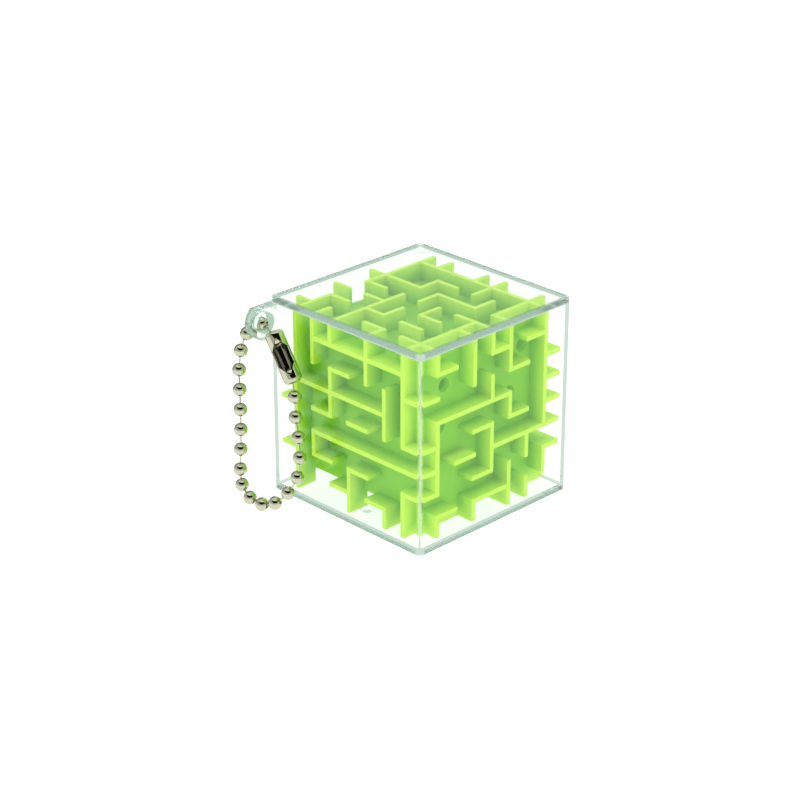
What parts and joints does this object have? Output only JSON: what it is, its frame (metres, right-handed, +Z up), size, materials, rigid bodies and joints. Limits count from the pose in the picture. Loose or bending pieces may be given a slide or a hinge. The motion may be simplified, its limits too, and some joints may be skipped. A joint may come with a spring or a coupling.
{
  "type": "maze ball puzzle",
  "caption": "Clear box around a maze block with walls on all six faces for a steel ball, with a hanging lug and a looped ball chain.",
  "frame": {"origin": "middle of the clear box's underside", "axes": "+Z up through the lid; the lug stands out of the -X face at its +Y end; -X and -Y are the two side faces seen in the usual view"},
  "size_m": [0.0453, 0.0395, 0.036],
  "materials": {
    "clear_plastic": "polished clear moulded plastic",
    "lime_plastic": "satin translucent moulded plastic",
    "ball_steel": "polished steel",
    "nickel_plate": "bright nickel plate"
  },
  "bodies": {
    "case": {"case_body": "clear_plastic", "case_lid": "clear_plastic", "maze_block": "lime_plastic", "maze_rear_plate": "lime_plastic"},
    "ball": {"maze_ball": "ball_steel"},
    "chain_upper": {"chain_connector": "nickel_plate", "chain_bead_01": "nickel_plate", "chain_bead_02": "nickel_plate", "chain_bead_18": "nickel_plate", "chain_bead_19": "nickel_plate", "chain_bead_20": "nickel_plate", "chain_bead_21": "nickel_plate", "chain_link_20": "nickel_plate", "chain_link_19": "nickel_plate", "chain_link_18": "nickel_plate", "chain_link_17": "nickel_plate", "chain_link_01": "nickel_plate", "chain_link_16": "nickel_plate"},
    "chain_row_1": {"chain_bead_03": "nickel_plate", "chain_bead_17": "nickel_plate", "chain_link_02": "nickel_plate", "chain_link_15": "nickel_plate"},
    "chain_row_2": {"chain_bead_04": "nickel_plate", "chain_bead_16": "nickel_plate", "chain_link_03": "nickel_plate", "chain_link_14": "nickel_plate"},
    "chain_row_3": {"chain_bead_05": "nickel_plate", "chain_bead_15": "nickel_plate", "chain_link_04": "nickel_plate", "chain_link_13": "nickel_plate"},
    "chain_row_4": {"chain_bead_06": "nickel_plate", "chain_bead_14": "nickel_plate", "chain_link_05": "nickel_plate", "chain_link_12": "nickel_plate"},
    "chain_row_5": {"chain_bead_07": "nickel_plate", "chain_bead_13": "nickel_plate", "chain_link_06": "nickel_plate", "chain_link_11": "nickel_plate"},
    "chain_bottom": {"chain_bead_08": "nickel_plate", "chain_bead_09": "nickel_plate", "chain_bead_10": "nickel_plate", "chain_bead_11": "nickel_plate", "chain_bead_12": "nickel_plate", "chain_link_07": "nickel_plate", "chain_link_08": "nickel_plate", "chain_link_09": "nickel_plate", "chain_link_10": "nickel_plate"}
  },
  "joints": [
    {"name": "ball_roll", "type": "slide", "parent": "case", "child": "ball", "axis": [1, 0, 0], "range_m": [0, 0.0183]},
    {"name": "chain_swing", "type": "hinge", "parent": "case", "child": "chain_upper", "pos_m": [-0.02055, 0.017, 0.0323], "axis": [0, 1, 0], "range_deg": [0, 110]},
    {"name": "chain_bend_1", "type": "hinge", "parent": "chain_upper", "child": "chain_row_1", "pos_m": [-0.02193, 0.01477, 0.02219], "axis": [-0.2774, 0.9544, -0.1105], "range_deg": [0, 8]},
    {"name": "chain_bend_2", "type": "hinge", "parent": "chain_row_1", "child": "chain_row_2", "pos_m": [-0.0224, 0.01403, 0.01877], "axis": [-0.2754, 0.9564, -0.0976], "range_deg": [0, 8]},
    {"name": "chain_bend_3", "type": "hinge", "parent": "chain_row_2", "child": "chain_row_3", "pos_m": [-0.02287, 0.01332, 0.0154], "axis": [-0.2756, 0.9561, -0.0994], "range_deg": [0, 8]},
    {"name": "chain_bend_4", "type": "hinge", "parent": "chain_row_3", "child": "chain_row_4", "pos_m": [-0.02334, 0.0126, 0.01204], "axis": [-0.2758, 0.956, -0.1004], "range_deg": [0, 8]},
    {"name": "chain_bend_5", "type": "hinge", "parent": "chain_row_4", "child": "chain_row_5", "pos_m": [-0.0239, 0.01219, 0.00862], "axis": [-0.2757, 0.9561, -0.0994], "range_deg": [0, 8]},
    {"name": "chain_bend_6", "type": "hinge", "parent": "chain_row_5", "child": "chain_bottom", "pos_m": [-0.02454, 0.01227, 0.00544], "axis": [-0.2736, 0.958, -0.0863], "range_deg": [0, 8]}
  ],
  "couplings": [
    {"joint": "chain_bend_2", "follows": "chain_bend_1", "ratio": 1},
    {"joint": "chain_bend_3", "follows": "chain_bend_1", "ratio": 1},
    {"joint": "chain_bend_4", "follows": "chain_bend_1", "ratio": 1},
    {"joint": "chain_bend_5", "follows": "chain_bend_1", "ratio": 1},
    {"joint": "chain_bend_6", "follows": "chain_bend_1", "ratio": 1}
  ]
}
